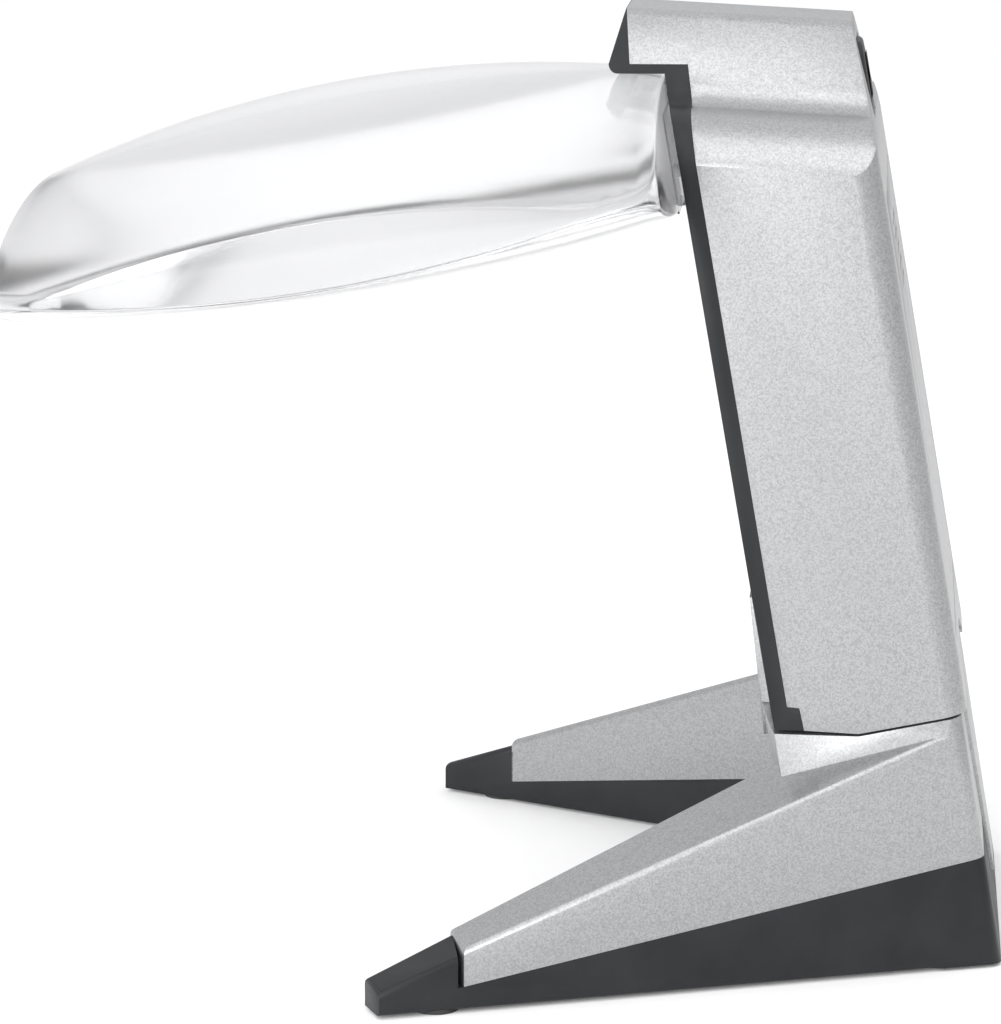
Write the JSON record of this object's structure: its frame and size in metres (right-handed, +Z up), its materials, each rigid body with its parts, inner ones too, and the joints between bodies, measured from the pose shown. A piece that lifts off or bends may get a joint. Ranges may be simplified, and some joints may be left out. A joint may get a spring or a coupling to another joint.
{
  "type": "illuminated stand magnifier",
  "caption": "Free-standing illuminated magnifier: a leaning column on a V-shaped base holds a large clear rectangular reading lens on a fold-down hinge.",
  "frame": {"origin": "middle of the bounding box's bottom face, on the table that the feet stand on", "axes": "+Z up, -Y towards the reader and the lens's free edge, +X to the reader's right"},
  "size_m": [0.1, 0.1149, 0.1087],
  "materials": {
    "silver_paint": "satin metallic paint on moulded plastic",
    "charcoal_plastic": "fine matte texture",
    "clear_acrylic": "polished, clear",
    "black_plastic": "matte",
    "button_black": "soft matte",
    "steel": "satin",
    "white_nylon": "matte",
    "foot_rubber": "matte",
    "battery_can": "printed sleeve over metal, plain",
    "board_green": "solder mask",
    "lamp_phosphor": "glossy",
    "window_clear": "polished, clear",
    "wire_red": "smooth"
  },
  "bodies": {
    "stand": {"column_shell": "silver_paint", "front_cover": "charcoal_plastic", "hinge_pin": "steel", "friction_washers": "white_nylon", "base_top_shell": "silver_paint", "base_tray": "charcoal_plastic", "foot_pads": "foot_rubber", "base_screws": "steel", "column_foot": "black_plastic", "column_screws": "steel", "battery_carrier": "black_plastic", "batteries": "battery_can", "contact_springs": "steel", "contact_plates": "steel", "circuit_board": "board_green", "power_switch": "black_plastic", "led_board": "board_green", "leds": "lamp_phosphor", "led_window": "window_clear", "wiring": "wire_red"},
    "lens_unit": {"lens": "clear_acrylic", "lens_bracket": "clear_acrylic"},
    "button": {"power_button": "button_black"},
    "door": {"battery_door": "silver_paint"}
  },
  "joints": [
    {"name": "lens_fold", "type": "hinge", "parent": "stand", "child": "lens_unit", "pos_m": [0, 0.02153, 0.08304], "axis": [1, 0, 0], "range_deg": [0, 65]},
    {"name": "button_press", "type": "slide", "parent": "stand", "child": "button", "axis": [0, -0.9848, -0.1736], "range_m": [0, 0.0006], "stiffness_N_per_m": 600, "springref_m": -0.0004},
    {"name": "door_hinge", "type": "hinge", "parent": "stand", "child": "door", "pos_m": [0, 0.05125, 0.03828], "axis": [-1, 0, 0], "range_deg": [0, 60]}
  ]
}
